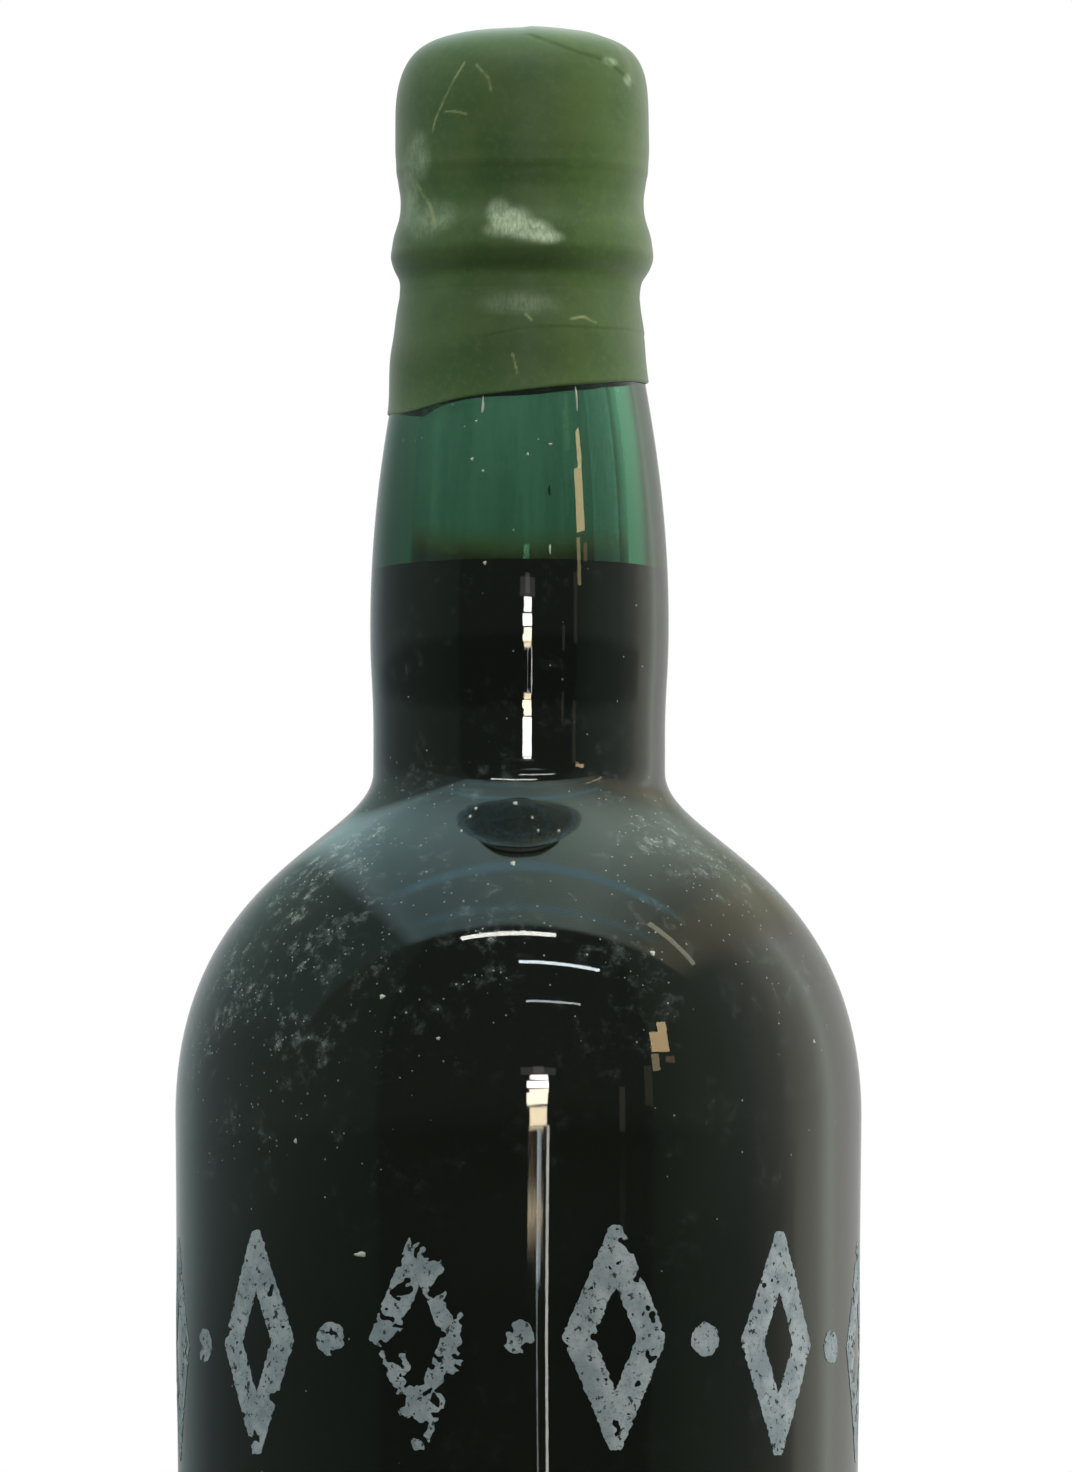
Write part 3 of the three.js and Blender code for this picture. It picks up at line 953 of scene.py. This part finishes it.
def mark_field(angle, height):
    """Above 0 where paint is left, in about mm from its edge."""
    pitch = 2 * np.pi / MARK_COUNT
    girth = body_radius(MARK_MIDDLE * MM) / MM
    number = np.floor(angle / pitch).astype(int) % MARK_COUNT
    u = (angle % pitch - pitch / 2) * girth
    v = height / MM - MARK_MIDDLE
    far = np.abs(u) / MARK_HALF_WIDTH + np.abs(v) / MARK_HALF_HEIGHT
    slant = MARK_HALF_WIDTH * MARK_HALF_HEIGHT / math.hypot(MARK_HALF_WIDTH, MARK_HALF_HEIGHT)
    lozenge = MARK_STROKE / 2 - np.abs(far - 1) * slant
    dot = MARK_DOT - np.hypot(pitch / 2 * girth - np.abs(u), v)
    shape = np.minimum(np.maximum(lozenge, dot), MARK_TIP - np.abs(v))
    worn = MARK_FLAKED * MARK_FLAKES(angle, height) + MARK_CHIPPED * MARK_CHIPS(angle, height)
    flakes = MARK_FLAKE_SLOPE * (np.array(MARK_KEPT)[number] - worn)
    return np.minimum(shape, flakes) + MARK_FRAYED * MARK_FRAY(angle, height)


def without_islands(inside, least):
    """The cells of a grid that hang together in groups of a least size."""
    labels = np.where(inside, np.arange(inside.size).reshape(inside.shape) + 1, 0)
    while True:
        spread = labels
        for step, axis in ((1, 0), (-1, 0), (1, 1), (-1, 1)):
            spread = np.maximum(spread, np.roll(labels, step, axis))
        spread = np.where(inside, spread, 0)
        if (spread == labels).all():
            return inside & (np.bincount(labels.ravel())[labels] >= least)
        labels = spread


def mark_outline():
    """Angle and height of the points of the paint's face, and its polygons, cut along the field."""
    columns = round(2 * np.pi * body_radius(MARK_MIDDLE * MM) / (MARK_CELL * MM))
    rows = round(2 * (MARK_TIP + 1) / MARK_CELL)
    angles = np.arange(columns) * 2 * np.pi / columns
    heights = (MARK_MIDDLE + (np.arange(rows + 1) - rows / 2) * MARK_CELL) * MM
    field = mark_field(angles[None, :], heights[:, None])
    inside = without_islands(field > 0, MARK_LEAST_CELLS)
    field = np.where(inside, np.maximum(field, MARK_MARGIN), np.minimum(field, -MARK_MARGIN))
    points = []
    numbers = {}
    polygons = []

    def point(key, row, column):
        if key not in numbers:
            numbers[key] = len(points)
            points.append((column * 2 * np.pi / columns, heights[0] + row * MARK_CELL * MM))
        return numbers[key]

    beside = inside | np.roll(inside, -1, 1)
    touched = beside | np.roll(beside, -1, 0)
    for row, column in zip(*np.nonzero(touched[:-1])):
        corners = [(row, column), (row, column + 1), (row + 1, column + 1), (row + 1, column)]
        polygon = []
        for (r, c), (s, d) in zip(corners, corners[1:] + corners[:1]):
            here, there = field[r, c % columns], field[s, d % columns]
            if here > 0:
                polygon.append(point((r, c % columns), r, c))
            if (here > 0) != (there > 0):
                share = min(max(here / (here - there), MARK_NEAREST), 1 - MARK_NEAREST)
                edge = tuple(sorted(((r, c % columns), (s, d % columns))))
                polygon.append(point(edge, r + share * (s - r), c + share * (d - c)))
        polygons.append(polygon)
    return np.array(points), polygons


def make_marks():
    """The paint as a thin sheet on the glass, closed by a back in the glass and a wall along its edge."""
    points, polygons = mark_outline()
    angle, height = points.T
    glass = body_radius(height) + glass_wave(angle, height)
    coords = []
    for radius in (glass + PAINT_PROUD, glass - PAINT_SUNK):
        coords.append(np.stack([radius * np.sin(angle), -radius * np.cos(angle), height], axis=1))
    count = len(points)
    faces = list(polygons)
    once = {}
    for polygon in polygons:
        faces.append([number + count for number in reversed(polygon)])
        for start, end in zip(polygon, polygon[1:] + polygon[:1]):
            if once.pop((end, start), None) is None:
                once[(start, end)] = True
    faces.extend([end, start, start + count, end + count] for start, end in once)
    piece = mesh_object("painted_marks_visual", np.concatenate(coords), faces)
    finish_piece(piece, "bottle", paint_material(), "glass_bottle")


def speck_points(degrees, middle, half_width, half_length):
    """Angle, height in mm and share of the thickness of a speck's points, from its top to its bottom."""
    around = math.radians(degrees)
    girth = BODY_RADIUS / MM
    if middle > BODY_HEIGHT / MM:
        girth = outside_radius(middle * MM) / MM
    points = [(around, middle, SPECK_TOP)]
    for reach, proud in SPECK_RINGS:
        for turn in ring_angles(SPECK_SIDES):
            wobble = reach * (1 + 0.18 * math.sin(3 * turn + degrees) + 0.1 * math.sin(5 * turn))
            across = wobble * half_width * math.cos(turn)
            rise = wobble * half_length * math.sin(turn)
            points.append((around + across / girth, middle + rise, proud))
    points.append((around, middle, SPECK_BOTTOM))
    return points


def speck_faces(first):
    """Faces of a speck, by the number of its first point."""
    starts = [first + 1 + SPECK_SIDES * ring for ring in range(len(SPECK_RINGS))]
    last = starts[-1] + SPECK_SIDES
    faces = []
    for side in range(SPECK_SIDES):
        after = (side + 1) % SPECK_SIDES
        faces.append([first, starts[0] + side, starts[0] + after])
        for inner, outer in zip(starts, starts[1:]):
            faces.append([inner + side, outer + side, outer + after, inner + after])
        faces.append([starts[-1] + side, last, starts[-1] + after])
    return faces


def make_specks():
    """Small flat drops stuck to the outside of the glass."""
    coords = []
    faces = []
    for speck in GLASS_SPECKS:
        faces.extend(speck_faces(len(coords)))
        coords.extend(speck_points(*speck))
    angle, height, proud = np.array(coords).T
    height = height * MM
    radius = np.where(height > BODY_HEIGHT, outside_radius(height), body_radius(height))
    radius = radius + glass_wave(angle, height) + SPECK_THICKNESS * proud
    points = np.stack([radius * np.sin(angle), -radius * np.cos(angle), height], axis=1)
    piece = mesh_object("dried_specks_visual", points, faces)
    finish_piece(piece, "bottle", speck_material(), "glass_bottle")


# Stage

FOCUS = Vector((0.0, 0.0, 0.2))
FLOOR_RADIUS = 0.6
FLOOR_SIDES = 128

# Level of the walls that the glass mirrors, by azimuth from the front towards the right
ROOM_WALLS = (
    (-180, (0.55, 0.57, 0.56)),
    (-156, (0.47, 0.55, 0.55)),
    (-145, (0.41, 0.53, 0.52)),
    (-127, (0.30, 0.38, 0.37)),
    (-100, (0.27, 0.36, 0.32)),
    (-78, (0.26, 0.33, 0.29)),
    (-49, (0.20, 0.28, 0.23)),
    (-46.5, (0.16, 0.20, 0.16)),
    (44.5, (0.16, 0.20, 0.16)),
    (46.5, (0.23, 0.30, 0.24)),
    (63, (0.31, 0.41, 0.33)),
    (84, (0.38, 0.46, 0.39)),
    (99, (0.62, 0.65, 0.56)),
    (108, (0.94, 0.96, 0.82)),
    (120, (1.10, 1.13, 0.98)),
    (129, (1.45, 1.52, 1.36)),
    (136, (1.08, 1.10, 1.0)),
    (145, (0.85, 0.86, 0.80)),
    (162, (0.61, 0.62, 0.59)),
    (180, (0.55, 0.57, 0.56)),
)

# Level of the ceiling, by distance to the right over height above the bottle
ROOM_CEILING = (
    (-0.70, (0.34, 0.48, 0.44)),
    (-0.58, (0.98, 1.42, 1.44)),
    (-0.48, (0.80, 1.22, 1.24)),
    (-0.20, (0.94, 1.38, 1.36)),
    (0.05, (1.06, 1.46, 1.30)),
    (0.30, (1.38, 1.76, 1.54)),
    (0.50, (1.10, 1.32, 1.14)),
    (0.68, (0.86, 0.98, 0.80)),
    (0.85, (1.05, 1.05, 0.79)),
    (1.30, (1.02, 0.99, 0.73)),
)

# Pale stripes across the ceiling: distance backwards over height above the bottle, half width and strength
CEILING_STRIPES = ((0.085, 0.065, 0.60), (-0.29, 0.055, 0.40))
STRIPE_LEVEL = (1.05, 2.0, 2.35)

# Direction of the light that shows through the glass
SIDE_LIGHT = (0.81, 0.57, 0.15)

# Lamps that only light the bottle: name, start, end, width, radiance and tint
SOFT_LAMPS = (
    ("soft_top", (-0.5, -0.35, 1.2), (0.5, -0.35, 1.2), 0.8, 0.6, (1.0, 1.0, 1.0)),
    ("right_fill", (1.1, 0.0, 0.25), (1.1, 0.0, 0.95), 0.6, 6.6, (1.0, 0.97, 0.99)),
    ("left_fill", (-1.1, -0.2, 0.25), (-1.1, -0.2, 0.95), 0.6, 1.3, (0.62, 0.84, 1.0)),
)

# Lamps that the glass only mirrors, in the same order
MIRRORED_LAMPS = (
    ("window_top", (0.225, -2.0, 0.415), (0.225, -2.0, 0.465), 0.20, 21.0, (1.0, 0.98, 0.95)),
    ("window_upper", (0.215, -2.0, 0.352), (0.215, -2.0, 0.408), 0.25, 24.0, (1.0, 0.98, 0.94)),
    ("window_middle", (0.228, -2.0, 0.314), (0.228, -2.0, 0.346), 0.215, 20.0, (1.0, 0.92, 0.74)),
    ("window_lower", (0.208, -2.0, 0.278), (0.208, -2.0, 0.314), 0.235, 22.0, (1.0, 0.90, 0.68)),
    ("window_foot", (0.222, -2.0, 0.247), (0.222, -2.0, 0.274), 0.19, 16.0, (1.0, 0.84, 0.56)),
    ("window_ledge", (0.20, -2.0, 0.240), (0.20, -2.0, 0.247), 0.17, 6.0, (1.0, 0.80, 0.55)),
    ("window_gleam", (0.238, -2.0, 0.229), (0.238, -2.0, 0.240), 0.045, 4.0, (0.80, 0.90, 1.0)),
    ("window_left", (0.225, -2.0, 0.12), (0.225, -2.0, 0.240), 0.016, 2.6, (0.86, 0.95, 1.0)),
    ("window_right", (0.335, -2.0, 0.12), (0.335, -2.0, 0.247), 0.030, 7.0, (1.0, 0.97, 0.90)),
    ("window_head", (0.22, -2.0, 0.475), (0.22, -2.0, 0.55), 0.12, 0.7, (1.0, 0.86, 0.74)),
    ("window_blind", (0.02, -2.0, 0.50), (0.42, -2.0, 0.50), 0.07, 0.45, (1.0, 0.97, 0.92)),
    ("door_left", (1.10, -1.62, 0.24), (1.10, -1.62, 0.36), 0.07, 0.25, (1.0, 0.90, 0.70)),
    ("door_right", (1.36, -1.42, 0.28), (1.36, -1.42, 0.54), 0.10, 0.25, (1.0, 0.84, 0.62)),
    ("side_tip", (1.57, -1.25, 0.90), (1.57, -1.25, 1.02), 0.13, 6.0, (1.0, 0.74, 0.40)),
    ("side_window", (1.52, -1.30, 0.68), (1.52, -1.30, 0.90), 0.24, 6.0, (1.0, 0.70, 0.36)),
    ("side_sill", (1.46, -1.36, 0.50), (1.46, -1.36, 0.66), 0.10, 2.4, (1.0, 0.80, 0.46)),
    ("side_shelf", (1.60, -1.22, 0.58), (1.60, -1.22, 0.64), 0.12, 1.0, (1.0, 0.62, 0.34)),
    ("tube_near", (-0.34, -0.60, 1.2), (0.21, -0.59, 1.2), 0.040, 15.0, (1.0, 0.98, 0.90)),
    ("tube_middle", (0.0, -0.955, 1.2), (0.61, -0.935, 1.2), 0.034, 15.0, (0.86, 0.96, 1.0)),
    ("tube_far", (0.07, -1.67, 1.2), (0.66, -1.64, 1.2), 0.024, 7.5, (0.86, 0.96, 1.0)),
    ("tube_right", (0.66, -0.17, 1.2), (1.23, -0.27, 1.2), 0.05, 2.0, (1.0, 1.0, 0.72)),
)


def strip(name, start, end, width, radiance, tint, mirrored):
    """A flat lamp between two points, turned towards the bottle, that is only mirrored or only lights."""
    start = Vector(start)
    end = Vector(end)
    data = bpy.data.lights.new(name, "AREA")
    data.shape = "RECTANGLE"
    data.size = (end - start).length
    data.size_y = width
    data.energy = radiance * 4 * data.size * width
    data.color = tint
    lamp = bpy.data.objects.new(name, data)
    bpy.context.scene.collection.objects.link(lamp)
    middle = (start + end) / 2
    along = (end - start).normalized()
    away = middle - FOCUS
    away = (away - along * away.dot(along)).normalized()
    lamp.matrix_world = Matrix.LocRotScale(
        middle, Matrix((along, away.cross(along), away)).transposed().to_quaternion(), None
    )
    lamp.visible_camera = False
    lamp.visible_glossy = mirrored
    lamp.visible_diffuse = not mirrored


def make_lamps():
    """Soft light from above and from the sides, and the windows, doors and tubes that the glass mirrors."""
    for lamp in SOFT_LAMPS:
        strip(*lamp, mirrored=False)
    for lamp in MIRRORED_LAMPS:
        strip(*lamp, mirrored=True)


def levels(tree, place, low, high, stops):
    """Colours along a value, held at both ends."""
    share = add(tree, "MapRange", {"Value": place, "From Min": low, "From Max": high}).outputs["Result"]
    ramp = add(tree, "ValToRGB", {"Fac": share})
    made = ramp.color_ramp.elements
    for number, (at, level) in enumerate(stops):
        position = (at - low) / (high - low)
        stop = made[number] if number < 2 else made.new(position)
        stop.position = position
        stop.color = rgb(*level)
    return ramp.outputs["Color"]


def scaled(tree, colour, factor):
    return add(tree, "VectorMath", {0: colour, "Scale": factor}, operation="SCALE").outputs["Vector"]


def room(tree, split):
    """What the glass mirrors: dim walls, brighter at the right, under a pale ceiling."""
    across, depth, up = (split.outputs[name] for name in "XYZ")
    azimuth = maths(tree, "ARCTAN2", across, maths(tree, "MULTIPLY", depth, -1.0))
    degrees = maths(tree, "DEGREES", azimuth)
    walls = levels(tree, degrees, -180, 180, ROOM_WALLS)
    low = mapped(tree, up, 0.03, 0.06, 0.68, 1.0)
    low = maths(tree, "MAXIMUM", low, mapped(tree, degrees, 96.0, 110.0))
    walls = scaled(tree, walls, low)
    rise = maths(tree, "MAXIMUM", up, 0.05)
    sideways = maths(tree, "DIVIDE", across, rise)
    backwards = maths(tree, "DIVIDE", depth, rise)
    ceiling = room_ceiling(tree, sideways, backwards)
    seen = maths(tree, "MULTIPLY", mapped(tree, backwards, -0.50, -0.43), mapped(tree, up, 0.20, 0.45))
    seen = maths(tree, "MULTIPLY", seen, mapped(tree, sideways, 0.95, 1.45, 1.0, 0.0))
    return mixed(tree, seen, walls, ceiling)


def room_ceiling(tree, sideways, backwards):
    """A ceiling that changes from left to right, striped across and darker at the back of its right."""
    ceiling = levels(tree, sideways, ROOM_CEILING[0][0], ROOM_CEILING[-1][0], ROOM_CEILING)
    ceiling = scaled(tree, ceiling, mapped(tree, backwards, -0.45, 0.10, 1.0, 0.95))
    middle = mapped(tree, sideways, -0.60, -0.40)
    middle = maths(tree, "MULTIPLY", middle, mapped(tree, sideways, 0.50, 0.85, 1.0, 0.0))
    for at, half, strength in CEILING_STRIPES:
        off = maths(tree, "ABSOLUTE", maths(tree, "SUBTRACT", backwards, at))
        stripe = maths(tree, "MULTIPLY", middle, mapped(tree, off, 0.2 * half, half, strength, 0.0))
        ceiling = mixed(tree, stripe, ceiling, rgb(*STRIPE_LEVEL))
    behind = mapped(tree, backwards, 1.10, 1.90, 0.0, 0.35)
    behind = maths(tree, "MULTIPLY", behind, mapped(tree, sideways, 0.0, 0.4))
    return scaled(tree, ceiling, maths(tree, "SUBTRACT", 1.0, behind))


def make_world():
    """White behind the bottle, a room for it to mirror and soft light from all round."""
    world = bpy.data.worlds.new("studio")
    bpy.context.scene.world = world
    world.use_nodes = True
    tree = world.node_tree
    tree.nodes.clear()
    output = add(tree, "OutputWorld")
    light = add(tree, "Background")
    tree.links.new(light.outputs[0], output.inputs["Surface"])
    place = add(tree, "TexCoord").outputs["Generated"]
    split = add(tree, "SeparateXYZ", {"Vector": place})
    rays = add(tree, "LightPath").outputs
    soft = mixed(tree, mapped(tree, split.outputs["Z"], 0.10, 0.60), SOFT_LOW, SOFT_HIGH)
    towards = add(tree, "VectorMath", {0: place, 1: SIDE_LIGHT}, operation="DOT_PRODUCT").outputs["Value"]
    through = mixed(tree, mapped(tree, towards, 0.88, 0.985), WHITE, SIDE_GLOW)
    seen = mixed(tree, rays["Is Glossy Ray"], soft, room(tree, split))
    seen = mixed(tree, rays["Is Transmission Ray"], seen, through)
    seen = mixed(tree, rays["Is Camera Ray"], seen, WHITE)
    tree.links.new(seen, light.inputs["Color"])
    light.inputs["Strength"].default_value = 1.0


def make_floor():
    work = bmesh.new()
    bmesh.ops.create_circle(work, cap_ends=True, segments=FLOOR_SIDES, radius=FLOOR_RADIUS)
    mesh = bpy.data.meshes.new("floor")
    work.to_mesh(mesh)
    work.free()
    floor = bpy.data.objects.new("floor", mesh)
    bpy.context.scene.collection.objects.link(floor)
    material, tree, shader, output, place = new_material("pale_floor")
    grain = noise(tree, place, 60.0)
    tree.links.new(mixed(tree, grain, FLOOR_DARK, FLOOR_LIGHT), shader.inputs["Base Color"])
    shader.inputs["Roughness"].default_value = 0.8
    clear = add(tree, "BsdfTransparent")
    underside = add(tree, "NewGeometry").outputs["Backfacing"]
    shown = add(tree, "MixShader", {0: underside, 1: shader.outputs[0], 2: clear.outputs[0]})
    tree.links.new(shown.outputs[0], output.inputs["Surface"])
    mesh.materials.append(material)
    floor.visible_diffuse = False
    floor.visible_glossy = False


# Camera, as the photograph has it
PHOTO_HEIGHT = 1472
AXIS_PIXELS_LEFT = 16.75
MM_PER_PIXEL = 0.11445
CAMERA_DISTANCE = 2.0
CAMERA_HEIGHT = 0.055
AIM_HEIGHT = 0.21925
LEAN = math.radians(0.115)


def make_camera():
    data = bpy.data.cameras.new("camera")
    data.sensor_width = 36.0
    reach = math.hypot(CAMERA_DISTANCE, AIM_HEIGHT - CAMERA_HEIGHT)
    data.lens = data.sensor_width * reach / (PHOTO_HEIGHT * MM_PER_PIXEL * MM)
    data.clip_start = 0.01
    data.clip_end = 50.0
    camera = bpy.data.objects.new("camera", data)
    bpy.context.scene.collection.objects.link(camera)
    across = AXIS_PIXELS_LEFT * MM_PER_PIXEL * MM
    camera.location = (across, -CAMERA_DISTANCE, CAMERA_HEIGHT)
    view = Vector((across, 0.0, AIM_HEIGHT)) - camera.location
    turn = view.to_track_quat("-Z", "Y").to_matrix() @ Matrix.Rotation(LEAN, 3, "Z")
    camera.rotation_mode = "QUATERNION"
    camera.rotation_quaternion = turn.to_quaternion()
    bpy.context.scene.camera = camera


WAX = wax_material()
make_glass()
make_marks()
make_specks()
make_wine()
make_cork()
make_wax_skirt()
make_wax_cap()
make_floor()
make_lamps()
make_world()
make_camera()
bpy.context.scene.view_settings.view_transform = "Standard"
